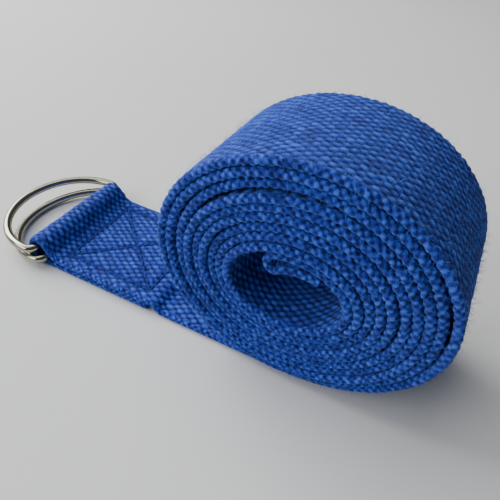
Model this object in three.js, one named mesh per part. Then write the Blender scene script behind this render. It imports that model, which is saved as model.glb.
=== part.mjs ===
// Stretching strap: one length of flat cotton webbing, rolled up on its edge, with two
// D-rings held in a sewn loop at the end that lies flat on the ground.
// Millimetres, +Z up. X runs from the D-rings (-X) to the roll (+X), Y runs across the webbing.
// The origin is under the middle of the object, on the ground.
import * as THREE from 'three';

// ---- driving dimensions ----
const WEB_WIDTH = 38;
const WEB_THICKNESS = 1.75;
const PIECE_GAP = 0.3;          // left between neighbouring pieces
const HALF_LENGTH = 69.9;       // half of the whole object's length

// the roll: a spiral whose turns change evenly from an outer ellipse to the ellipse round its eye
const TURNS = 9.55;
const STEPS_PER_TURN = 40;
const OUTER = { centreX: 33.5, halfWidth: 36.1, halfHeight: 31.15 };
const EYE = { centreX: 32.5, centreZ: 29.2, halfWidth: 13.8, halfHeight: 9.6 };
const HEM_SWEEP = 51;           // degrees of the last turn that the folded-back hem covers
const HEM_FOLD_RADIUS = 1.7;
const HEM_FOLD_STEPS = 8;
const HEM_END_SPACING = 2.05;   // between the hem's two middle lines at its sewn edge

// the flat end
const HINGE_X = 10.6;           // where the flat end leaves the roll
const LAP_END_X = -7.9;         // end of the folded-under layer
const LOOP_END_X = -38.2;       // where the loop closes and the two layers lie together
const STEP_DOWN = 5;            // length of the slope from two layers to one
const CURVE_STEPS = 8;

// the D-rings
const WIRE_DIAMETER = 2.5;
const WIRE_SIDES = 10;
const RING_STEPS = 64;
const RING_HALF_WIDTH = 20.9;   // at the wire's middle
const RING_CORNER_RADIUS = 2.6;
const RING_SPLIT = 0.4;         // the butt joint in the middle of the straight bar
const UPPER_RING = { barZ: 5.75, depth: 20.9, tilt: 1 };
const LOWER_RING = { barX: -44.7, barZ: 3.2, depth: 20.4, tilt: -5 };

// the sewing thread
const THREAD_WIDTH = 0.9;
const THREAD_HEIGHT = 0.35;
const THREAD_LIFT = 0.1;
const HEM_THREAD_PLACE = 0.8;   // along the hem, from its fold to its cut edge
const BOX_START_X = -37.4;
const BOX_END_X = -9.3;
const BOX_INSET = 4.6;          // from the webbing's edges to the middle of the thread

// ---- worked out from those ----
const HALF_THICKNESS = WEB_THICKNESS / 2;
const DEG = Math.PI / 180;
const OUTER_CENTRE_Z = OUTER.halfHeight + HALF_THICKNESS;
const START_ANGLE = -90 * DEG;
const END_ANGLE = START_ANGLE + TURNS * 2 * Math.PI;
const UPPER_LAYER_Z = WEB_THICKNESS + PIECE_GAP + HALF_THICKNESS;
const UPPER_BAR_X = -HALF_LENGTH + WIRE_DIAMETER / 2 + UPPER_RING.depth;
const LOOP_RADIUS = WIRE_DIAMETER / 2 + PIECE_GAP + HALF_THICKNESS;

// ---- materials ----
function webbingMaterial() {
  return new THREE.MeshStandardMaterial({ color: 0x29559c, roughness: 0.92, metalness: 0 });
}

function threadMaterial() {
  return new THREE.MeshStandardMaterial({ color: 0x1d438c, roughness: 0.85, metalness: 0 });
}

function metalMaterial() {
  return new THREE.MeshStandardMaterial({ color: 0xbdb9ac, roughness: 0.22, metalness: 1 });
}

// ---- the spiral's middle line, and the direction out of it, at a winding angle ----
function spiralPoint(angle) {
  const done = (angle - START_ANGLE) / (END_ANGLE - START_ANGLE);
  const mix = (from, to) => from + (to - from) * done;
  const halfWidth = mix(OUTER.halfWidth, EYE.halfWidth);
  const halfHeight = mix(OUTER.halfHeight, EYE.halfHeight);
  const centre = new THREE.Vector2(mix(OUTER.centreX, EYE.centreX), mix(OUTER_CENTRE_Z, EYE.centreZ));
  const cos = Math.cos(angle);
  const sin = Math.sin(angle);
  const outward = new THREE.Vector2(cos / halfWidth, sin / halfHeight).normalize();
  const point = new THREE.Vector2(centre.x + halfWidth * cos, centre.y + halfHeight * sin);
  return { point, outward };
}

function rollMiddleLine() {
  const points = [new THREE.Vector2(HINGE_X + PIECE_GAP / 2, HALF_THICKNESS)];
  const steps = Math.round(TURNS * STEPS_PER_TURN);
  for (let i = 0; i <= steps; i += 1) {
    points.push(spiralPoint(START_ANGLE + (END_ANGLE - START_ANGLE) * i / steps).point);
  }
  return points.concat(hemMiddleLine());
}

// The free end turns back under itself inside the eye.
function hemMiddleLine() {
  const { point, outward } = spiralPoint(END_ANGLE);
  const foldCentre = point.clone().addScaledVector(outward, -HEM_FOLD_RADIUS);
  const points = [];
  for (let i = 1; i < HEM_FOLD_STEPS; i += 1) {
    const turn = Math.PI * i / HEM_FOLD_STEPS;
    const arm = outward.clone().rotateAround(new THREE.Vector2(), turn).multiplyScalar(HEM_FOLD_RADIUS);
    points.push(foldCentre.clone().add(arm));
  }
  const steps = Math.round(HEM_SWEEP / 360 * STEPS_PER_TURN);
  for (let i = 0; i <= steps; i += 1) {
    const back = spiralPoint(END_ANGLE - HEM_SWEEP * DEG * i / steps);
    points.push(back.point.addScaledVector(back.outward, -hemSpacing(i / steps)));
  }
  return points;
}

// Between the middle lines of the hem's two layers, at a place from its fold to its cut edge.
function hemSpacing(place) {
  return 2 * HEM_FOLD_RADIUS + (HEM_END_SPACING - 2 * HEM_FOLD_RADIUS) * place;
}

// ---- the flat end's middle lines ----
function tailMiddleLine() {
  const path = new THREE.Path();
  const middle = LAP_END_X + STEP_DOWN / 2;
  path.moveTo(LOOP_END_X + PIECE_GAP / 2, UPPER_LAYER_Z);
  path.lineTo(LAP_END_X, UPPER_LAYER_Z);
  path.bezierCurveTo(middle, UPPER_LAYER_Z, middle, HALF_THICKNESS, LAP_END_X + STEP_DOWN, HALF_THICKNESS);
  path.lineTo(HINGE_X - PIECE_GAP / 2, HALF_THICKNESS);
  return path.getPoints(CURVE_STEPS);
}

function loopMiddleLine() {
  const path = new THREE.Path();
  const left = UPPER_BAR_X - LOOP_RADIUS;
  const crest = UPPER_RING.barZ + LOOP_RADIUS;
  const slope = (LOOP_END_X - UPPER_BAR_X) / 2;
  path.moveTo(LOOP_END_X, HALF_THICKNESS);
  path.lineTo(left + LOOP_RADIUS, HALF_THICKNESS);
  path.absarc(left + LOOP_RADIUS, HALF_THICKNESS + LOOP_RADIUS, LOOP_RADIUS, -90 * DEG, -180 * DEG, true);
  path.absarc(UPPER_BAR_X, UPPER_RING.barZ, LOOP_RADIUS, 180 * DEG, 90 * DEG, true);
  path.bezierCurveTo(UPPER_BAR_X + slope, crest, LOOP_END_X - slope, UPPER_LAYER_Z,
    LOOP_END_X - PIECE_GAP / 2, UPPER_LAYER_Z);
  return path.getPoints(CURVE_STEPS);
}

function lapMiddleLine() {
  return [
    new THREE.Vector2(LOOP_END_X + PIECE_GAP, HALF_THICKNESS),
    new THREE.Vector2(LAP_END_X, HALF_THICKNESS),
  ];
}

// ---- a strip of webbing: its side view is a band round the middle line, extruded across Y ----
function bandShape(middleLine) {
  const left = [];
  const right = [];
  middleLine.forEach((point, i) => {
    const before = middleLine[Math.max(i - 1, 0)];
    const after = middleLine[Math.min(i + 1, middleLine.length - 1)];
    const along = after.clone().sub(before).normalize();
    const across = new THREE.Vector2(-along.y, along.x);
    left.push(point.clone().addScaledVector(across, HALF_THICKNESS));
    right.unshift(point.clone().addScaledVector(across, -HALF_THICKNESS));
  });
  return new THREE.Shape(left.concat(right));
}

function webbingStrip(name, middleLine) {
  const geometry = new THREE.ExtrudeGeometry(bandShape(middleLine), { depth: WEB_WIDTH, bevelEnabled: false });
  const mesh = new THREE.Mesh(geometry, webbingMaterial());
  mesh.name = name;
  mesh.rotation.x = Math.PI / 2;
  mesh.position.y = WEB_WIDTH / 2;
  return mesh;
}

// ---- a D-ring: a wire bent to a straight bar and a round bow, its ends meeting in the bar ----
class RingCurve extends THREE.CurvePath {
  constructor(depth) {
    super();
    const corner = RING_CORNER_RADIUS;
    const side = RING_HALF_WIDTH;
    const point = (x, y) => new THREE.Vector3(x, y, 0);
    const handle = 0.5523;      // makes a cubic curve follow a quarter of an ellipse
    const bowDepth = depth - corner;
    this.add(new THREE.LineCurve3(point(0, -RING_SPLIT / 2), point(0, -(side - corner))));
    this.add(new THREE.QuadraticBezierCurve3(point(0, -(side - corner)), point(0, -side), point(-corner, -side)));
    this.add(new THREE.CubicBezierCurve3(point(-corner, -side), point(-corner - bowDepth * handle, -side),
      point(-depth, -side * handle), point(-depth, 0)));
    this.add(new THREE.CubicBezierCurve3(point(-depth, 0), point(-depth, side * handle),
      point(-corner - bowDepth * handle, side), point(-corner, side)));
    this.add(new THREE.QuadraticBezierCurve3(point(-corner, side), point(0, side), point(0, side - corner)));
    this.add(new THREE.LineCurve3(point(0, side - corner), point(0, RING_SPLIT / 2)));
  }
}

function dRing(name, barX, { barZ, depth, tilt }) {
  const section = new THREE.Shape();
  section.absarc(0, 0, WIRE_DIAMETER / 2, 0, 2 * Math.PI);
  const geometry = new THREE.ExtrudeGeometry(section, {
    extrudePath: new RingCurve(depth),
    steps: RING_STEPS,
    curveSegments: WIRE_SIDES / 2,     // a circle gets two points for each segment
  });
  const mesh = new THREE.Mesh(geometry, metalMaterial());
  mesh.name = name;
  mesh.position.set(barX, 0, barZ);
  mesh.rotation.y = tilt * DEG;
  return mesh;
}

// ---- the thread of the crossed box seam that closes the loop ----
function boxSeam() {
  const shape = new THREE.Shape();
  const side = WEB_WIDTH / 2 - BOX_INSET;
  const half = THREAD_WIDTH / 2;
  shape.moveTo(BOX_START_X - half, -side - half);
  shape.lineTo(BOX_END_X + half, -side - half);
  shape.lineTo(BOX_END_X + half, side + half);
  shape.lineTo(BOX_START_X - half, side + half);
  const corner = [
    new THREE.Vector2(BOX_START_X + half, -side + half),
    new THREE.Vector2(BOX_END_X - half, -side + half),
    new THREE.Vector2(BOX_END_X - half, side - half),
    new THREE.Vector2(BOX_START_X + half, side - half),
  ];
  const crossing = new THREE.Vector2((BOX_START_X + BOX_END_X) / 2, 0);
  corner.forEach((from, i) => {
    const to = corner[(i + 1) % corner.length];
    shape.holes.push(trianglePane(from, to, crossing));
  });
  return extrudedUp('box_stitch', shape, WEB_THICKNESS * 2 + PIECE_GAP + THREAD_LIFT, threadMaterial());
}

// The space between one side of the box and the two diagonals.
function trianglePane(from, to, crossing) {
  const side = to.clone().sub(from).normalize();
  const inward = crossing.clone().sub(from.clone().add(to).multiplyScalar(0.5)).normalize();
  const halfLength = from.distanceTo(to) / 2;
  const rise = crossing.distanceTo(from.clone().add(to).multiplyScalar(0.5));
  const slant = Math.hypot(halfLength, rise);
  const trimAlong = THREAD_WIDTH / 2 * slant / rise;
  const trimTop = THREAD_WIDTH / 2 * slant / halfLength;
  const start = from.clone().addScaledVector(side, trimAlong);
  const end = to.clone().addScaledVector(side, -trimAlong);
  const top = crossing.clone().addScaledVector(inward, -trimTop);
  return new THREE.Path([start, end, top]);
}

function extrudedUp(name, shape, z, material) {
  const geometry = new THREE.ExtrudeGeometry(shape, { depth: THREAD_HEIGHT, bevelEnabled: false });
  const mesh = new THREE.Mesh(geometry, material);
  mesh.name = name;
  mesh.position.z = z;
  return mesh;
}

// The hem's seam runs across the webbing, on the hem's face inside the eye.
function hemSeam() {
  const place = spiralPoint(END_ANGLE - HEM_SWEEP * DEG * HEM_THREAD_PLACE);
  const drop = hemSpacing(HEM_THREAD_PLACE) + HALF_THICKNESS + 3 * THREAD_LIFT + THREAD_HEIGHT / 2;
  const geometry = new THREE.BoxGeometry(THREAD_WIDTH, WEB_WIDTH, THREAD_HEIGHT);
  const mesh = new THREE.Mesh(geometry, threadMaterial());
  mesh.name = 'hem_stitch';
  mesh.position.set(place.point.x - place.outward.x * drop, 0, place.point.y - place.outward.y * drop);
  mesh.rotation.y = Math.atan2(place.outward.x, place.outward.y);
  return mesh;
}

// ---- the strap ----
const strap = new THREE.Group();
strap.add(
  webbingStrip('webbing_roll', rollMiddleLine()),
  webbingStrip('webbing_tail', tailMiddleLine()),
  webbingStrip('webbing_loop', loopMiddleLine()),
  webbingStrip('webbing_lap', lapMiddleLine()),
  dRing('ring_upper', UPPER_BAR_X, UPPER_RING),
  dRing('ring_lower', LOWER_RING.barX, LOWER_RING),
  boxSeam(),
  hemSeam(),
);

export default strap;
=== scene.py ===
import math

import bpy
import numpy as np
from mathutils import Matrix, Vector


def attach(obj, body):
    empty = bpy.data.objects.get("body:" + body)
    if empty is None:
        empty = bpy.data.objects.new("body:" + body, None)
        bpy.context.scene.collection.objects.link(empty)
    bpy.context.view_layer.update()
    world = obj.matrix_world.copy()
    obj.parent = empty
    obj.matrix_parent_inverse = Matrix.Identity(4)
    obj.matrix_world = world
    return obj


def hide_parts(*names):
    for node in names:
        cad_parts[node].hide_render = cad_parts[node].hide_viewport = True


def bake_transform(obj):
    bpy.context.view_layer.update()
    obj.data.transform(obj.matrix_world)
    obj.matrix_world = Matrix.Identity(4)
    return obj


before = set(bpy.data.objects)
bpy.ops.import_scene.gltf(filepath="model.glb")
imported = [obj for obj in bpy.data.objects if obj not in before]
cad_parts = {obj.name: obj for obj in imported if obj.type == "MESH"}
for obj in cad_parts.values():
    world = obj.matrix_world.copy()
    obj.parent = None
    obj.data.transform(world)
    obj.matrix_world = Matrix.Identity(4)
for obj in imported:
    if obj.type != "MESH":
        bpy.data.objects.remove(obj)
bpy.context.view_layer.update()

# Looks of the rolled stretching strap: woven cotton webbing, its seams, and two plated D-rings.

MM = 0.001

# ---- the design's sizes, in millimetres; the hem and the box seam differ a little from the CAD ----
WEB_WIDTH = 38.0
TURNS = 9.55
OUTER = {"x": 33.5, "half_width": 36.1, "half_height": 31.15}
EYE = {"x": 32.5, "z": 29.2, "half_width": 13.8, "half_height": 9.6}
HEM_SWEEP = math.radians(51)
HEM_FOLD_RADIUS = 2.15
HEM_END_SPACING = 2.1
LAP_END_X = -7.9
LOOP_END_X = -38.2
STEP_DOWN = 5.0
WIRE_RADIUS = 1.25
RING_HALF_WIDTH = 20.9
RING_CORNER = 2.6
RING_SPLIT = 0.4
UPPER_RING = {"x": -47.75, "z": 5.75, "depth": 20.9, "tilt": math.radians(1)}
LOWER_RING = {"x": -44.7, "z": 3.2, "depth": 20.4, "tilt": math.radians(-5)}
BOX_SEAM = {"x0": -38.6, "x1": -9.6, "y": 14.4}

# ---- the weave: warp floats in a staggered pattern, all round the webbing's section ----
CORE_HALF = 0.62                 # half thickness under the yarn's bumps
BUMP = 0.37                      # height of a yarn's bump
FACE = WEB_WIDTH - 2 * (CORE_HALF + BUMP)
EDGE_ARC = math.pi * CORE_HALF
AROUND = 2 * FACE + 2 * EDGE_ARC
WARPS_AROUND = 68                # an even number, so that the pattern closes on itself
WARP_PITCH = AROUND / WARPS_AROUND
WEFT_PITCH = 1.75
EDGE_WEFT = 1.02                 # the tighter lattice of the weft's turns along the edges
EDGE_WARP = 0.76
SEAM_X = 24.0                    # where the flat end's mesh meets the roll's, under the roll


# ---------------------------------------------------------------- middle line of the webbing
def arc(centre, radius, start, end, count):
    angles = np.radians(np.linspace(start, end, count))
    return np.stack([centre[0] + radius * np.cos(angles), centre[1] + radius * np.sin(angles)], 1)


def bezier(a, b, c, d, count):
    t = np.linspace(0, 1, count)[:, None]
    a, b, c, d = (np.array(p, float) for p in (a, b, c, d))
    return a * (1 - t) ** 3 + 3 * b * t * (1 - t) ** 2 + 3 * c * t ** 2 * (1 - t) + d * t ** 3


GROUND_Z = CORE_HALF + BUMP
UPPER_LAYER_Z = 3 * GROUND_Z + 0.02
LOOP_RADIUS = WIRE_RADIUS + 0.1 + GROUND_Z


def flat_end_line():
    """From the cut end underneath, round the D-ring bars, back over itself and on to the roll."""
    bar_x, bar_z = UPPER_RING["x"], UPPER_RING["z"]
    corner = (bar_x, GROUND_Z + LOOP_RADIUS)
    slope = (LOOP_END_X - bar_x) / 2
    crest = bar_z + LOOP_RADIUS
    step = LAP_END_X + 0.4 + STEP_DOWN / 2
    step_end = LAP_END_X + 0.4 + STEP_DOWN
    return np.concatenate([
        [(LAP_END_X, GROUND_Z)],
        arc(corner, LOOP_RADIUS, 270, 180, 24),
        arc((bar_x, bar_z), LOOP_RADIUS, 180, 90, 24),
        bezier((bar_x, crest), (bar_x + slope, crest), (LOOP_END_X - 1.6 * slope, UPPER_LAYER_Z),
               (LOOP_END_X, UPPER_LAYER_Z), 30)[1:],
        bezier((LAP_END_X + 0.4, UPPER_LAYER_Z), (step, UPPER_LAYER_Z), (step, GROUND_Z),
               (step_end, GROUND_Z), 24),
        [(OUTER["x"] - 0.1, GROUND_Z)],
    ])


# Uneven winding: behind each gap the inner turns lie closer together until it is used up.
# Each has the turn it opens after, the turns until it is used up, its place round the roll in
# degrees, its spread in degrees and its size in millimetres.
SLACK = [
    (1.95, 4.6, 182, 52, 0.62),
    (2.75, 4.4, 118, 40, 0.68),
    (0.45, 3.6, 12, 42, 0.5),
    (4.40, 4.2, -12, 34, 0.42),
    (5.60, 3.2, 150, 36, 0.35),
]


def slack(angle):
    turn = (angle + math.pi / 2) / (2 * math.pi)
    total = np.zeros_like(angle)
    for opens, used_up, place, spread, size in SLACK:
        away = (np.degrees(angle) - place + 180) % 360 - 180
        here = np.exp(-(away / spread) ** 2)
        rise = np.clip((turn - opens) / 0.55, 0, 1)
        fall = np.clip(1 - (turn - opens - 0.55) / used_up, 0, 1)
        total += size * here * rise * rise * (3 - 2 * rise) * fall
    return total


def spiral(angle):
    """Middle line and outward direction at winding angles."""
    done = (angle + math.pi / 2) / (TURNS * 2 * math.pi)

    def mix(a, b):
        return a + (b - a) * done

    half_width = mix(OUTER["half_width"], EYE["half_width"])
    half_height = mix(OUTER["half_height"], EYE["half_height"])
    centre_z = mix(OUTER["half_height"] + GROUND_Z, EYE["z"])
    outward = np.stack([np.cos(angle) / half_width, np.sin(angle) / half_height], 1)
    outward /= np.linalg.norm(outward, axis=1)[:, None]
    point = np.stack([mix(OUTER["x"], EYE["x"]) + half_width * np.cos(angle),
                      centre_z + half_height * np.sin(angle)], 1)
    return point - outward * slack(angle)[:, None], outward


END_ANGLE = -math.pi / 2 + TURNS * 2 * math.pi


def hem_line():
    """The free end, folded back under itself inside the roll's eye."""
    point, outward = (v[0] for v in spiral(np.array([END_ANGLE])))
    turn = np.linspace(0, math.pi, 26)[1:-1]
    side = np.array([-outward[1], outward[0]])
    centre = point - outward * HEM_FOLD_RADIUS
    fold = centre + HEM_FOLD_RADIUS * (np.cos(turn)[:, None] * outward + np.sin(turn)[:, None] * side)
    place = np.linspace(0, 1, 40)
    back, away = spiral(END_ANGLE - HEM_SWEEP * place)
    spacing = 2 * HEM_FOLD_RADIUS + (HEM_END_SPACING - 2 * HEM_FOLD_RADIUS) * place ** 0.7
    return np.concatenate([fold, back - away * spacing[:, None]])


SPIRAL_COUNT = 5200
SPIRAL_ANGLES = np.linspace(-math.pi / 2, END_ANGLE, SPIRAL_COUNT)


def whole_line():
    return np.concatenate([flat_end_line(), spiral(SPIRAL_ANGLES)[0], hem_line()])


class MiddleLine:
    """The webbing's middle line, looked up by the length along it."""

    def __init__(self, points):
        self.points = points
        self.length_at = np.concatenate([[0], np.cumsum(np.linalg.norm(np.diff(points, axis=0), axis=1))])
        self.length = self.length_at[-1]

    def at(self, u):
        x = np.interp(u, self.length_at, self.points[:, 0])
        z = np.interp(u, self.length_at, self.points[:, 1])
        return np.stack([x, z], 1)

    def outward(self, u, reach=0.25):
        along = self.at(np.minimum(u + reach, self.length)) - self.at(np.maximum(u - reach, 0))
        along /= np.linalg.norm(along, axis=1)[:, None]
        return np.stack([along[:, 1], -along[:, 0]], 1)


LINE = MiddleLine(whole_line())
FLAT_COUNT = len(flat_end_line())
SPIRAL_START = LINE.length_at[FLAT_COUNT]
HEM_START = LINE.length_at[FLAT_COUNT + SPIRAL_COUNT - 1]


def length_at_turn(turn):
    return LINE.length_at[FLAT_COUNT + int(round((SPIRAL_COUNT - 1) * turn / TURNS))]


# ---------------------------------------------------------------- the weave
def lattice(u, c, weft=WEFT_PITCH, warp=WARP_PITCH):
    """The yarn float nearest to a place, as whole numbers, and the offset from its middle."""
    p = (u / weft + c / warp) / 2
    q = (u / weft - c / warp) / 2
    p0, q0 = np.round(p), np.round(q)
    return p0, q0, (p - p0 + q - q0) * weft, (p - p0 - q + q0) * warp


def scatter(p, q, seed):
    """A number from 0 to 1 that looks random, the same for the same float."""
    return np.mod(np.sin(p * 12.9898 + q * 78.233 + seed * 37.719) * 43758.5453, 1.0)


def soft_noise(u, c, cell, seed):
    """Smooth noise from 0 to 1 over cells of a given size."""
    a, b = u / cell, c / cell
    a0, b0 = np.floor(a), np.floor(b)
    ta, tb = a - a0, b - b0
    ta, tb = ta * ta * (3 - 2 * ta), tb * tb * (3 - 2 * tb)
    low = scatter(a0, b0, seed) * (1 - ta) + scatter(a0 + 1, b0, seed) * ta
    high = scatter(a0, b0 + 1, seed) * (1 - ta) + scatter(a0 + 1, b0 + 1, seed) * ta
    return low * (1 - tb) + high * tb


def edge_place(c):
    """Distance from the middle of the nearer rounded edge, with its sign."""
    c = np.where(c < FACE / 2, c + AROUND, c)
    first = c - FACE - EDGE_ARC / 2
    second = c - AROUND + EDGE_ARC / 2
    return np.where(np.abs(first) < np.abs(second), first, second)


def edge_share(c):
    """1 on the webbing's rounded edges, 0 on its faces."""
    return np.clip((1.8 - np.abs(edge_place(c))) / 0.8, 0, 1)


def bead(u, c, weft, warp, long, wide, seed):
    """Height from 0 to 1 of a float in a lattice of floats that differ a little."""
    p, q, du, dc = lattice(u, c, weft, warp)
    lean = 0.26 * (scatter(p, q, seed) - 0.5)
    du = du - lean * dc + 0.12 * long * (scatter(p, q, seed + 1) - 0.5)
    long = long * (1 + 0.2 * (scatter(p, q, seed + 2) - 0.5))
    wide = wide * (1 + 0.18 * (scatter(p, q, seed + 3) - 0.5))
    rest = np.clip(1 - (du / long) ** 2 - (dc / wide) ** 2, 0, 1)
    return rest ** 0.55 * (1 - 0.26 * scatter(p, q, seed + 4)), scatter(p, q, seed + 5)


def weave(u, c):
    """Height from 0 to 1 and shade of the yarn at each place."""
    drift_u = u + 0.36 * (soft_noise(u, c, 3.1, 11) - 0.5)
    drift_c = c + 0.26 * (soft_noise(u, c, 2.3, 12) - 0.5)
    height, shade = bead(drift_u, drift_c, WEFT_PITCH, WARP_PITCH, 1.25, 0.92, 1)
    place = edge_place(c) + 0.3 * (soft_noise(u, c, 1.9, 21) - 0.5)
    knot, knot_shade = bead(drift_u, place, EDGE_WEFT, EDGE_WARP, 0.74, 0.62, 31)
    edge = edge_share(c)
    height = height * (1 - edge) + edge * (0.12 + 0.88 * knot)
    shade = shade * (1 - edge) + knot_shade * edge
    fuzzy = soft_noise(u, c, 0.6, 13) - 0.5
    return np.clip(height + 0.34 * fuzzy, 0, 1.05), shade


def seam_lines():
    x0, x1, y = BOX_SEAM["x0"], BOX_SEAM["x1"], BOX_SEAM["y"]
    corner = [(x0, -y), (x1, -y), (x1, y), (x0, y)]
    sides = [(corner[i], corner[(i + 1) % 4]) for i in range(4)]
    return sides + [(corner[0], corner[2]), (corner[1], corner[3])]


GROOVE_DEPTH = 0.4


def groove(x, y):
    """How far the box seam pulls the webbing in, in millimetres."""
    depth = np.zeros_like(x)
    for (ax, ay), (bx, by) in seam_lines():
        length2 = (bx - ax) ** 2 + (by - ay) ** 2
        t = np.clip(((x - ax) * (bx - ax) + (y - ay) * (by - ay)) / length2, 0, 1)
        away = np.hypot(x - ax - t * (bx - ax), y - ay - t * (by - ay))
        depth = np.maximum(depth, GROOVE_DEPTH * np.exp(-(away / 0.95) ** 2))
    return depth


# ---------------------------------------------------------------- meshes
def section_places(outer_step, inner_step, edge_step=0.26, margin=1.3):
    """Places round the section: outer face, +Y edge, inner face, -Y edge."""
    def face(start, step):
        if step <= edge_step * 1.5:
            return list(np.linspace(start, start + FACE, int(FACE / step), endpoint=False))
        near = list(np.linspace(start, start + margin, int(margin / edge_step), endpoint=False))
        far = list(np.linspace(start + margin, start + FACE - margin, int(FACE / step), endpoint=False))
        return near + far + [p + FACE - margin for p in near]

    def edge(start):
        return list(np.linspace(start, start + EDGE_ARC, int(round(EDGE_ARC / edge_step)), endpoint=False))

    inner_start = FACE + EDGE_ARC
    return np.array(face(0, outer_step) + edge(FACE) + face(inner_start, inner_step) + edge(inner_start + FACE))


def section(c):
    """Across the webbing and out from its middle line, and the surface's direction, at places round it."""
    half = FACE / 2
    across, out = np.zeros_like(c), np.zeros_like(c)
    n_across, n_out = np.zeros_like(c), np.zeros_like(c)
    inner_start = FACE + EDGE_ARC
    top = c < FACE
    across[top], out[top], n_out[top] = c[top] - half, CORE_HALF, 1
    low = (c >= inner_start) & (c < inner_start + FACE)
    across[low], out[low], n_out[low] = half - (c[low] - inner_start), -CORE_HALF, -1
    for start, sign, side in ((FACE, 1, (c >= FACE) & (c < inner_start)),
                              (inner_start + FACE, -1, c >= inner_start + FACE)):
        turn = (c[side] - start) / CORE_HALF
        n_across[side], n_out[side] = sign * np.sin(turn), sign * np.cos(turn)
        across[side] = sign * half + CORE_HALF * n_across[side]
        out[side] = CORE_HALF * n_out[side]
    return across, out, n_across, n_out


def fullness(u):
    """How much the webbing swells to fill the room between its neighbouring turns."""
    angle = np.interp(u, LINE.length_at[FLAT_COUNT:FLAT_COUNT + SPIRAL_COUNT], SPIRAL_ANGLES)
    outward = spiral(angle)[1]
    per_turn_x = (OUTER["x"] - EYE["x"] + (OUTER["half_width"] - EYE["half_width"]) * np.cos(angle)) / TURNS
    per_turn_z = (OUTER["half_height"] + GROUND_Z - EYE["z"]
                  + (OUTER["half_height"] - EYE["half_height"]) * np.sin(angle)) / TURNS
    pitch = outward[:, 0] * per_turn_x + outward[:, 1] * per_turn_z
    here = slack(angle)
    room = pitch + np.minimum(here - slack(angle - 2 * math.pi), slack(angle + 2 * math.pi) - here)
    full = np.clip(1.045 * room / (2 * GROUND_Z), 0.95, 1.25)
    in_roll = np.clip((u - SPIRAL_START) / 20, 0, 1) * np.clip((HEM_START - u) / 20, 0, 1)
    return 1 + (full - 1) * in_roll


ROLL_DRIFT = 1.7                 # the roll is wound this far towards the front of the flat end


def sway(u):
    """How far each turn's edges stand out of line, in millimetres."""
    into_roll = np.clip((u - SPIRAL_START - 60) / 120, 0, 1)
    wave = np.sin(u / 47.0) + 0.6 * np.sin(u / 19.3 + 1.2) + 0.5 * np.sin(u / 8.1 + 0.4)
    drift = np.clip((u - SPIRAL_START + 5) / 60, 0, 1)
    return 0.3 * into_roll * wave - ROLL_DRIFT * drift * drift * (3 - 2 * drift)


def surface(u, c):
    """Points and directions of the webbing's surface at places on it, with the height that sets the painted shade
    and highlight of its colour, and the yarn's own tone.
    """
    middle, outward = LINE.at(u), LINE.outward(u)
    across, out, n_across, n_out = section(c)
    height, shade = weave(u, c)
    lift = BUMP * height
    off = (out + lift * n_out) * fullness(u)
    x = middle[:, 0] + outward[:, 0] * off
    y = across + lift * n_across + sway(u)
    z = middle[:, 1] + outward[:, 1] * off
    sewn = (x < LAP_END_X + 1) & (u < SPIRAL_START)
    on_top = sewn & (np.abs(z - UPPER_LAYER_Z - GROUND_Z) < 0.6)
    below = sewn & (z < 0.8 * GROUND_Z)
    pull = np.where(on_top | below, groove(x, y), 0.0)
    z = z - np.where(on_top, pull, 0.0) + np.where(below, pull, 0.0)
    # Painted shade in the box seam's groove: the height that sets the colour is lowered where the seam pulls the
    # cloth in.
    relief_shading = height * (1 - 0.45 * pull / GROOVE_DEPTH)
    normal = np.stack([outward[:, 0] * n_out, n_across, outward[:, 1] * n_out], 1)
    return np.stack([x, y, z], 1), normal, relief_shading, shade


def webbing_piece(name, start, end, along_step, outer_step, inner_step):
    """One stretch of the webbing as a closed mesh, with its yarn floats as real bumps."""
    u = np.linspace(start, end, max(8, int(round((end - start) / along_step))) + 1)
    c = section_places(outer_step, inner_step)
    U, C = np.meshgrid(u, c, indexing="ij")
    points, _, relief_shading, shade = surface(U.reshape(-1), C.reshape(-1))
    rows, cols = U.shape
    i, k = np.meshgrid(np.arange(rows - 1), np.arange(cols), indexing="ij")
    k2 = (k + 1) % cols
    quads = np.stack([i * cols + k, (i + 1) * cols + k, (i + 1) * cols + k2, i * cols + k2], -1).reshape(-1, 4)
    c_next = np.append(c[1:], AROUND)
    next_along = np.broadcast_to(c_next, (rows - 1, cols))
    uv = np.stack([np.stack([U[:-1], C[:-1]], -1), np.stack([U[1:], C[1:]], -1),
                   np.stack([U[1:], next_along], -1), np.stack([U[:-1], next_along], -1)], 2).reshape(-1, 2)
    caps = [list(range(cols)), [(rows - 1) * cols + j for j in reversed(range(cols))]]
    cap_uv = np.stack([np.repeat([start, end], cols), np.concatenate([c, c[::-1]])], -1)
    return mesh_object(name, points * MM, quads, caps, np.concatenate([uv, cap_uv]),
                       {"relief_shading": relief_shading, "shade": shade, "edge": edge_share(C.reshape(-1))})


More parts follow.
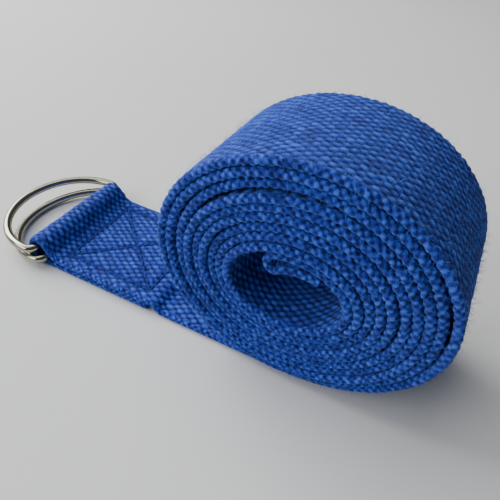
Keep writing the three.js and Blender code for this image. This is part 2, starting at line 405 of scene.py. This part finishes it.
def mesh_object(name, verts, quads, caps, uv, values):
    """A smooth-shaded mesh from arrays: quads, then faces with more corners, then its point values."""
    mesh = bpy.data.meshes.new(name)
    corners = np.concatenate([np.asarray(quads).reshape(-1)] + [np.asarray(f) for f in caps])
    sizes = np.array([4] * len(quads) + [len(f) for f in caps])
    starts = np.concatenate([[0], np.cumsum(sizes)[:-1]])
    mesh.vertices.add(len(verts))
    mesh.vertices.foreach_set("co", np.asarray(verts, np.float32).reshape(-1))
    mesh.loops.add(len(corners))
    mesh.loops.foreach_set("vertex_index", corners.astype(np.int32))
    mesh.polygons.add(len(sizes))
    mesh.polygons.foreach_set("loop_start", starts.astype(np.int32))
    mesh.polygons.foreach_set("loop_total", sizes.astype(np.int32))
    if uv is not None:
        mesh.uv_layers.new(name="yarn").data.foreach_set("uv", np.asarray(uv, np.float32).reshape(-1))
    for key, value in values.items():
        mesh.attributes.new(key, "FLOAT", "POINT").data.foreach_set("value", value.astype(np.float32))
    mesh.polygons.foreach_set("use_smooth", np.arange(len(sizes)) < len(quads))
    mesh.update(calc_edges=True)
    mesh.validate()
    if signed_volume(verts, quads) < 0:
        mesh.flip_normals()
    obj = bpy.data.objects.new(name, mesh)
    bpy.context.scene.collection.objects.link(obj)
    return obj


def signed_volume(verts, quads):
    v = np.asarray(verts)[np.asarray(quads)]
    first = np.einsum("ij,ij->i", v[:, 0], np.cross(v[:, 1], v[:, 2]))
    second = np.einsum("ij,ij->i", v[:, 0], np.cross(v[:, 2], v[:, 3]))
    return (first + second).sum()


def tube(path, radius, sides, closed=False):
    """Rings of points round a path, with the quads between them. radius may change along it."""
    path = np.asarray(path, float)
    if closed:
        along = np.roll(path, -1, 0) - np.roll(path, 1, 0)
    else:
        along = np.gradient(path, axis=0)
    along /= np.linalg.norm(along, axis=1)[:, None]
    side = np.zeros_like(path)
    guide = np.array([0.0, 0.0, 1.0]) if abs(along[0][2]) < 0.9 else np.array([1.0, 0.0, 0.0])
    for i, t in enumerate(along):
        guide = guide - t * (guide @ t)
        guide /= np.linalg.norm(guide)
        side[i] = guide
    third = np.cross(along, side)
    angle = np.linspace(0, 2 * math.pi, sides, endpoint=False)
    radius = np.broadcast_to(np.asarray(radius, float), (len(path),))
    ring = side[:, None] * np.cos(angle)[None, :, None] + third[:, None] * np.sin(angle)[None, :, None]
    verts = (path[:, None] + ring * radius[:, None, None]).reshape(-1, 3)
    last = len(path) if closed else len(path) - 1
    i, k = np.meshgrid(np.arange(last), np.arange(sides), indexing="ij")
    j, k2 = (i + 1) % len(path), (k + 1) % sides
    quads = np.stack([i * sides + k, j * sides + k, j * sides + k2, i * sides + k2], -1).reshape(-1, 4)
    return verts, quads


# ---------------------------------------------------------------- loose fibres
def fuzz_piece(name, spans, seed):
    """Short loose fibres standing out of the cotton. spans: (count, u from, u to, c from, c to)."""
    rng = np.random.default_rng(seed)
    u = np.concatenate([rng.uniform(u0, u1, n) for n, u0, u1, _, _ in spans])
    c = np.concatenate([rng.uniform(c0, c1, n) for n, _, _, c0, c1 in spans])
    root, normal, _, _ = surface(u, c)
    count = len(u)
    aside = rng.normal(size=(count, 3))
    aside -= normal * np.einsum("ij,ij->i", aside, normal)[:, None]
    aside /= np.linalg.norm(aside, axis=1)[:, None]
    across = np.cross(normal, aside)
    length = np.minimum(rng.gamma(3.0, 0.3, count), 2.2)[:, None]
    lean = rng.uniform(0.4, 1.6, count)[:, None]
    curl = rng.uniform(-0.5, 0.5, count)[:, None]
    rings = []
    for t, width in ((-0.12, 1.0), (0.35, 0.9), (0.7, 0.7), (1.0, 0.35)):
        middle = root + length * (normal * t * 0.9 + aside * lean * t * t * 0.55 + across * curl * t * t)
        spin = [aside * math.cos(a) + across * math.sin(a) for a in (0, 2.094, 4.189)]
        rings.append(np.stack([middle + 0.033 * width * v for v in spin], 1))
    strands = np.stack(rings, 1)
    strands = strands[strands[..., 2].min((1, 2)) > 0.05]
    count = len(strands)
    verts = strands.reshape(-1, 3)
    i, j, k = np.meshgrid(np.arange(count), np.arange(3), np.arange(3), indexing="ij")
    at = i * 12 + j * 3
    k2 = (k + 1) % 3
    quads = np.stack([at + k, at + 3 + k, at + 3 + k2, at + k2], -1).reshape(-1, 4)
    tips = [[int(n) * 12 + 9, int(n) * 12 + 10, int(n) * 12 + 11] for n in range(count)]
    roots = [[int(n) * 12 + 2, int(n) * 12 + 1, int(n) * 12] for n in range(count)]
    return mesh_object(name, verts * MM, quads, tips + roots, None, {})


# ---------------------------------------------------------------- sewing
STITCH = 2.7
THREAD_RADIUS = 0.26


def stitch_row(start, end, place):
    """Thread from start to end: each stitch arches over the cloth and dives in at both ends."""
    start, end = np.array(start, float), np.array(end, float)
    count = max(2, int(round(np.linalg.norm(end - start) / STITCH)))
    rows = []
    for i in range(count):
        t = np.linspace((i + 0.04) / count, (i + 0.96) / count, 13)
        flat = start + (end - start) * t[:, None]
        arch = np.sin(np.linspace(0, math.pi, 13))
        rows.append(place(flat, arch ** 0.45))
    return rows


def thread_piece(name, rows):
    verts, quads, caps, uv = [], [], [], []
    base = 0
    sides = 8
    for row in rows:
        t = np.linspace(0, 1, len(row))
        swell = THREAD_RADIUS * (0.62 + 0.38 * np.sin(math.pi * t) ** 0.5)
        v, q = tube(row, swell, sides)
        verts.append(v)
        quads.append(q + base)
        caps += [[base + s for s in range(sides)],
                 [base + len(v) - sides + s for s in reversed(range(sides))]]
        ring, step = np.divmod(q, sides)
        uv.append(np.stack([ring * STITCH / 12, step * 0.19], -1).reshape(-1, 2))
        base += len(v)
    uv.append(np.zeros((sum(len(f) for f in caps), 2)))
    verts = np.concatenate(verts) * MM
    return mesh_object(name, verts, np.concatenate(quads), caps, np.concatenate(uv), {})


def box_seam_rows(z, up):
    """Seam in a level face at height z, arching up or, for up = -1, down."""
    def place(flat, arch):
        return np.column_stack([flat, z + up * (arch - 1) * 0.55])
    rows = []
    for start, end in seam_lines():
        rows += stitch_row(start, end, place)
    return rows


def hem_seam_rows():
    """Seam across the hem, on both of its faces."""
    rows = []
    u = LINE.length - 3.2
    for face, base in ((1, u), (-1, HEM_START - (LINE.length - u) + 6.2)):
        point, outward = LINE.at(np.array([base]))[0], LINE.outward(np.array([base]))[0]
        drop = GROUND_Z - 0.12

        def place(flat, arch):
            out = drop + (arch - 1) * 0.55
            return np.column_stack([
                np.full(len(flat), point[0]) + outward[0] * out * face, flat[:, 1] - ROLL_DRIFT,
                np.full(len(flat), point[1]) + outward[1] * out * face])
        edge = WEB_WIDTH / 2 - 1.0
        rows += stitch_row((0, -edge), (0, edge), place)
    return rows


# ---------------------------------------------------------------- D-rings
def ring_line(depth, steps=220):
    """A D: half of a straight bar, a rounded corner, the bow, and back, with a slit in the bar."""
    side, corner = RING_HALF_WIDTH, RING_CORNER
    half = np.concatenate([
        np.stack([np.zeros(20), -np.linspace(RING_SPLIT / 2, side - corner, 20)], 1),
        arc((-corner, -(side - corner)), corner, 0, -90, 14)[1:],
        np.stack([-corner - (depth - corner) * np.sin(np.linspace(0, math.pi / 2, 70)),
                  -side * np.cos(np.linspace(0, math.pi / 2, 70))], 1)[1:],
    ])
    points = np.concatenate([half, (half * [1, -1])[::-1][1:]])
    dist = np.concatenate([[0], np.cumsum(np.linalg.norm(np.diff(points, axis=0), axis=1))])
    at = np.linspace(0, dist[-1], steps)
    x, y = np.interp(at, dist, points[:, 0]), np.interp(at, dist, points[:, 1])
    return np.stack([x, y, np.zeros(steps)], 1)


def ring_piece(name, spec):
    path = ring_line(spec["depth"])
    turn = np.array([[math.cos(spec["tilt"]), 0, math.sin(spec["tilt"])], [0, 1, 0],
                     [-math.sin(spec["tilt"]), 0, math.cos(spec["tilt"])]])
    path = path @ turn.T + [spec["x"], 0, spec["z"]]
    chamfer = 0.18
    first, last = path[0], path[-1]
    ends_in = (path[1] - first) / np.linalg.norm(path[1] - first)
    ends_out = (last - path[-2]) / np.linalg.norm(last - path[-2])
    radius = np.full(len(path), WIRE_RADIUS)
    path = np.concatenate([[first - ends_in * 0.001], [first + ends_in * chamfer], path[1:-1],
                           [last - ends_out * chamfer], [last + ends_out * 0.001]])
    radius = np.concatenate([[WIRE_RADIUS - chamfer], radius, [WIRE_RADIUS - chamfer]])
    sides = 28
    verts, quads = tube(path, radius, sides)
    caps = [list(range(sides)), [len(verts) - sides + s for s in reversed(range(sides))]]
    ring, step = np.divmod(quads, sides)
    uv = np.stack([ring * 0.5, step * 0.28], -1).reshape(-1, 2)
    uv = np.concatenate([uv, np.zeros((2 * sides, 2))])
    return mesh_object(name, verts * MM, quads, caps, uv, {})


# ---------------------------------------------------------------- materials
class Nodes:
    """Short helper for building a material's nodes."""

    def __init__(self, name):
        self.material = bpy.data.materials.new(name)
        self.material.use_nodes = True
        self.tree = self.material.node_tree
        self.shader = self.tree.nodes["Principled BSDF"]

    def new(self, kind, **inputs):
        node = self.tree.nodes.new(kind)
        for key, value in inputs.items():
            if hasattr(node, key):
                setattr(node, key, value)
            else:
                socket = node.inputs[key.replace("_", " ")]
                if isinstance(value, bpy.types.NodeSocket):
                    self.tree.links.new(value, socket)
                else:
                    socket.default_value = value
        return node

    def math(self, operation, a, b=0.0, c=0.0):
        node = self.tree.nodes.new("ShaderNodeMath")
        node.operation = operation
        for socket, value in zip(node.inputs, (a, b, c)):
            if isinstance(value, bpy.types.NodeSocket):
                self.tree.links.new(value, socket)
            else:
                socket.default_value = value
        return node.outputs[0]

    def ramp(self, factor, stops):
        node = self.tree.nodes.new("ShaderNodeValToRGB")
        self.tree.links.new(factor, node.inputs[0])
        elements = node.color_ramp.elements
        while len(elements) < len(stops):
            elements.new(0.5)
        for element, (place, colour) in zip(elements, stops):
            element.position = place
            element.color = (*colour, 1)
        return node.outputs["Color"]

    def link(self, output, name):
        self.tree.links.new(output, self.shader.inputs[name])


# Colours of the webbing's ramp: the crevice blue is painted shade in the hollows between the yarn floats, and the
# deep blue is a lighter step of that painted shade. The yarn blue is the cotton's own colour, and the lit blue is a
# painted highlight on the floats' tops.
CREVICE_SHADE_BLUE = (0.0013, 0.0034, 0.05)
DEEP_BLUE = (0.0068, 0.0172, 0.2)
YARN_BLUE = (0.018, 0.052, 0.42)
LIT_BLUE = (0.058, 0.162, 0.74)
# The thread blue is partly the thread's own darker blue and partly painted shade of the seam groove it lies in.
THREAD_BLUE = (0.011, 0.036, 0.31)
NICKEL = (0.38, 0.37, 0.295)


def yarn_bump(m, uv, pitch, strength, beads=None):
    """Fine ridges of the yarn's plies, leaning across the yarn, with loose fibres over them."""
    split = m.new("ShaderNodeSeparateXYZ", Vector=uv)
    lean = m.math("MULTIPLY_ADD", split.outputs["Y"], 0.75, split.outputs["X"])
    waver = m.new("ShaderNodeTexNoise", Vector=uv, Scale=0.9, Detail=2.0)
    turned = m.math("MULTIPLY_ADD", waver.outputs["Fac"], 0.5, lean)
    ridges = m.math("SINE", m.math("MULTIPLY", turned, 2 * math.pi / pitch))
    fibres = m.new("ShaderNodeTexNoise", Vector=uv, Scale=4.5, Detail=4.0, Roughness=0.7)
    both = m.math("MULTIPLY_ADD", fibres.outputs["Fac"], 2.2, m.math("MULTIPLY", ridges, 0.3))
    if beads is not None:
        both = m.math("MULTIPLY_ADD", beads, 1.8, both)
    bump = m.new("ShaderNodeBump", Height=both, Strength=strength, Distance=0.0001)
    m.link(bump.outputs["Normal"], "Normal")
    return fibres.outputs["Fac"], ridges


def webbing_material():
    m = Nodes("royal_blue_cotton")
    uv = m.new("ShaderNodeUVMap", uv_map="yarn").outputs["UV"]
    edge = m.new("ShaderNodeAttribute", attribute_name="edge").outputs["Fac"]
    loops = m.new("ShaderNodeTexVoronoi", Vector=uv, Scale=1.15, Randomness=0.85).outputs["Distance"]
    beads = m.math("MULTIPLY", m.math("SUBTRACT", 0.5, loops), edge)
    fibres, ridges = yarn_bump(m, uv, 0.46, 1.0, beads)
    relief_shading = m.new("ShaderNodeAttribute", attribute_name="relief_shading").outputs["Fac"]
    shade = m.new("ShaderNodeAttribute", attribute_name="shade").outputs["Fac"]
    patch = m.new("ShaderNodeTexNoise", Vector=uv, Scale=0.11, Detail=3.0).outputs["Fac"]
    # Painted shade and highlight: the level rises with the yarn's height from the mesh and a little with the ply
    # ridges, so hollows are painted dark and tops are painted light. The shade attribute and the patch and fibre
    # noises are the yarn's own uneven tone.
    level = m.math("MULTIPLY_ADD", shade, 0.13, relief_shading)
    level = m.math("MULTIPLY_ADD", patch, 0.16, level)
    level = m.math("MULTIPLY_ADD", fibres, 0.16, level)
    level = m.math("MULTIPLY_ADD", ridges, 0.03, level)
    # The edge beads lift the colour on their tops and drop it at their borders: painted highlight and painted shade
    # on the rounded edges.
    level = m.math("MULTIPLY_ADD", beads, 0.55, level)
    level = m.math("SUBTRACT", level, 0.2)
    # The ramp paints low levels as shade and high levels as a highlight on the cotton's own blue.
    colour = m.ramp(level, [(0.04, CREVICE_SHADE_BLUE), (0.34, DEEP_BLUE), (0.66, YARN_BLUE), (1.0, LIT_BLUE)])
    m.link(colour, "Base Color")
    rough = m.math("MULTIPLY_ADD", fibres, 0.18, 0.78)
    m.link(rough, "Roughness")
    m.shader.inputs["Specular IOR Level"].default_value = 0.22
    m.shader.inputs["Sheen Weight"].default_value = 0.19
    m.shader.inputs["Sheen Roughness"].default_value = 0.42
    m.shader.inputs["Sheen Tint"].default_value = (0.55, 0.72, 1.0, 1)
    return m.material


def thread_material():
    m = Nodes("royal_blue_thread")
    uv = m.new("ShaderNodeUVMap", uv_map="yarn").outputs["UV"]
    fibres, ridges = yarn_bump(m, uv, 0.34, 0.9)
    # The thread's colour follows the ply ridges, which puts painted shade in their grooves, and the fibre noise,
    # which is its own uneven tone. The ramp runs darker than the webbing, partly as painted shade of the groove.
    level = m.math("MULTIPLY_ADD", ridges, 0.22, fibres)
    m.link(m.ramp(level, [(0.1, DEEP_BLUE), (0.5, THREAD_BLUE), (1.0, YARN_BLUE)]), "Base Color")
    m.shader.inputs["Roughness"].default_value = 0.72
    m.shader.inputs["Specular IOR Level"].default_value = 0.2
    m.shader.inputs["Sheen Weight"].default_value = 0.12
    m.shader.inputs["Sheen Tint"].default_value = (0.4, 0.6, 1.0, 1)
    return m.material


def nickel_material():
    m = Nodes("nickel_plate")
    place = m.new("ShaderNodeTexCoord").outputs["Object"]
    haze = m.new("ShaderNodeTexNoise", Vector=place, Scale=260.0, Detail=4.0, Roughness=0.6).outputs["Fac"]
    uv = m.new("ShaderNodeUVMap", uv_map="yarn").outputs["UV"]
    stretch = m.new("ShaderNodeMapping", Vector=uv, Scale=(0.6, 14.0, 1.0)).outputs["Vector"]
    lines = m.new("ShaderNodeTexNoise", Vector=stretch, Scale=2.2, Detail=5.0, Roughness=0.75).outputs["Fac"]
    rough = m.math("MULTIPLY_ADD", haze, 0.14, 0.06)
    rough = m.math("MULTIPLY_ADD", lines, 0.06, rough)
    m.link(rough, "Roughness")
    tint = m.math("MULTIPLY_ADD", lines, 0.5, m.math("MULTIPLY", haze, 0.5))
    m.link(m.ramp(tint, [(0.3, (0.30, 0.285, 0.22)), (0.55, NICKEL), (0.8, (0.52, 0.5, 0.43))]), "Base Color")
    bump = m.new("ShaderNodeBump", Height=lines, Strength=0.10, Distance=0.00003)
    m.link(bump.outputs["Normal"], "Normal")
    m.shader.inputs["Metallic"].default_value = 1.0
    return m.material


def floor_material():
    m = Nodes("pale_floor")
    place = m.new("ShaderNodeTexCoord").outputs["Object"]
    tone = m.new("ShaderNodeTexNoise", Vector=place, Scale=5.0, Detail=2.0).outputs["Fac"]
    m.link(m.ramp(tone, [(0.3, (0.70, 0.705, 0.70)), (0.7, (0.735, 0.74, 0.735))]), "Base Color")
    m.shader.inputs["Roughness"].default_value = 0.9
    m.shader.inputs["Specular IOR Level"].default_value = 0.15
    return m.material


# ---------------------------------------------------------------- camera, light, floor
def make_camera():
    """Close above the strap's front, looking along it, the camera leaning a little."""
    place = Vector((55.5, -100.2, 110.2)) * MM
    turn, down, lean = math.radians(22.32), math.radians(39.94), math.radians(6.55)
    forward = Vector((-math.sin(turn) * math.cos(down), math.cos(turn) * math.cos(down), -math.sin(down)))
    right = Vector((math.cos(turn), math.sin(turn), 0))
    up = right.cross(forward)
    right, up = (math.cos(lean) * right + math.sin(lean) * up, math.cos(lean) * up - math.sin(lean) * right)
    data = bpy.data.cameras.new("camera")
    data.lens = 36.75
    data.sensor_width = 36.0
    data.clip_start = 0.005
    camera = bpy.data.objects.new("camera", data)
    bpy.context.scene.collection.objects.link(camera)
    camera.matrix_world = Matrix((
        (right.x, up.x, -forward.x, place.x), (right.y, up.y, -forward.y, place.y),
        (right.z, up.z, -forward.z, place.z), (0, 0, 0, 1)))
    bpy.context.scene.camera = camera


def area_light(name, place, aim, size, power, colour=(1, 1, 1)):
    data = bpy.data.lights.new(name, "AREA")
    data.shape = "RECTANGLE"
    data.size, data.size_y = size
    data.energy = power
    data.color = colour
    light = bpy.data.objects.new(name, data)
    light.location = place
    light.rotation_mode = "QUATERNION"
    light.rotation_quaternion = (Vector(aim) - Vector(place)).to_track_quat("-Z", "Y")
    bpy.context.scene.collection.objects.link(light)
    return light


def make_light():
    world = bpy.data.worlds.new("studio")
    bpy.context.scene.world = world
    world.use_nodes = True
    background = world.node_tree.nodes["Background"]
    background.inputs["Color"].default_value = (0.92, 0.96, 1.0, 1)
    background.inputs["Strength"].default_value = 0.11
    area_light("window", (-0.86, 0.16, 0.52), (0, 0, 0.02), (0.8, 0.6), 12.6, (1.0, 0.99, 0.97))
    area_light("ceiling", (-0.52, 0.14, 0.98), (0, 0, 0.02), (1.2, 1.2), 7.5, (0.99, 1.0, 1.0))
    area_light("fill", (-0.45, -0.62, 0.50), (0.02, 0, 0.02), (0.7, 0.5), 4.8, (0.97, 0.98, 1.0))


def make_floor():
    side = 1.6
    verts = [(-side, -side, 0), (side, -side, 0), (side, side, 0), (-side, side, 0)]
    mesh = bpy.data.meshes.new("floor")
    mesh.from_pydata(verts, [], [(0, 1, 2, 3)])
    floor = bpy.data.objects.new("floor", mesh)
    bpy.context.scene.collection.objects.link(floor)
    mesh.materials.append(floor_material())


# ---------------------------------------------------------------- the strap
def dress(piece, material):
    piece.data.materials.append(material)


def make_webbing():
    cotton = webbing_material()
    seam_u = LINE.length_at[FLAT_COUNT - 1] - (LINE.points[FLAT_COUNT - 1, 0] - SEAM_X)
    first = length_at_turn(1.10)
    eye = length_at_turn(TURNS - 1.75)
    end = LINE.length
    fine, coarse = 0.26, 6.0
    pieces = [
        ("strap_flat_end", 0, seam_u, 0.39, fine, fine),
        ("strap_outer_turn", seam_u, first, 0.41, fine, coarse),
        ("strap_middle_turns", first, length_at_turn(3.9), 0.36, coarse, coarse),
        ("strap_inner_turns", length_at_turn(3.9), eye, 0.36, coarse, coarse),
        ("strap_eye_turns", eye, HEM_START, 0.38, coarse, fine),
        ("strap_hem", HEM_START, end, 0.3, fine, fine),
    ]
    made = {}
    for name, start, stop, along, outer, inner in pieces:
        piece = webbing_piece(name, start, stop, along, outer, inner)
        dress(piece, cotton)
        made[name] = (piece, stop - start)
    flat_end = made["strap_flat_end"][0]
    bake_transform(flat_end)
    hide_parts("webbing_tail", "webbing_loop", "webbing_lap")
    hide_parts("webbing_roll")
    for name, (piece, length) in made.items():
        if piece is not flat_end:
            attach(piece, "roll")


def fuzz_material():
    m = Nodes("loose_cotton_fibre")
    m.shader.inputs["Base Color"].default_value = (0.07, 0.2, 0.72, 1)
    m.shader.inputs["Roughness"].default_value = 0.6
    m.shader.inputs["Specular IOR Level"].default_value = 0.3
    return m.material


def make_fuzz():
    """Loose fibres on the faces and edges that lie open."""
    fibre = fuzz_material()
    low_edge = (FACE * 2 + EDGE_ARC, AROUND)
    high_edge = (FACE, FACE + EDGE_ARC)
    outer_turn = (SPIRAL_START + 20, length_at_turn(1.0))
    all_turns = (SPIRAL_START + 20, LINE.length)
    in_roll = fuzz_piece("roll_fuzz", [
        (4000, *outer_turn, 0, FACE), (3500, *all_turns, *low_edge), (2000, *all_turns, *high_edge)], 5)
    flat_end = (4, LINE.length_at[FLAT_COUNT - 2] - 6)
    at_flat_end = fuzz_piece("flat_end_fuzz", [
        (1500, *flat_end, FACE + EDGE_ARC, 2 * FACE + EDGE_ARC), (1300, 62, flat_end[1], 0, AROUND)], 6)
    for piece, body in ((in_roll, "roll"), (at_flat_end, "tail")):
        dress(piece, fibre)
        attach(piece, body)


def make_seams():
    thread = thread_material()
    top = UPPER_LAYER_Z + GROUND_Z - 0.32
    rows = box_seam_rows(top, 1) + box_seam_rows(THREAD_RADIUS + 0.03, -1)
    box_seam = thread_piece("box_seam_thread", rows)
    dress(box_seam, thread)
    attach(box_seam, "tail")
    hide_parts("box_stitch")
    hem_seam = thread_piece("hem_seam_thread", hem_seam_rows())
    dress(hem_seam, thread)
    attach(hem_seam, "roll")
    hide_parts("hem_stitch")


def make_rings():
    nickel = nickel_material()
    for name, body, spec in (("d_ring_upper", "ring_upper", UPPER_RING), ("d_ring_lower", "ring_lower", LOWER_RING)):
        ring = ring_piece(name, spec)
        dress(ring, nickel)
        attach(ring, body)
        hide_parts(body)


make_camera()
make_floor()
make_light()
make_webbing()
make_fuzz()
make_seams()
make_rings()
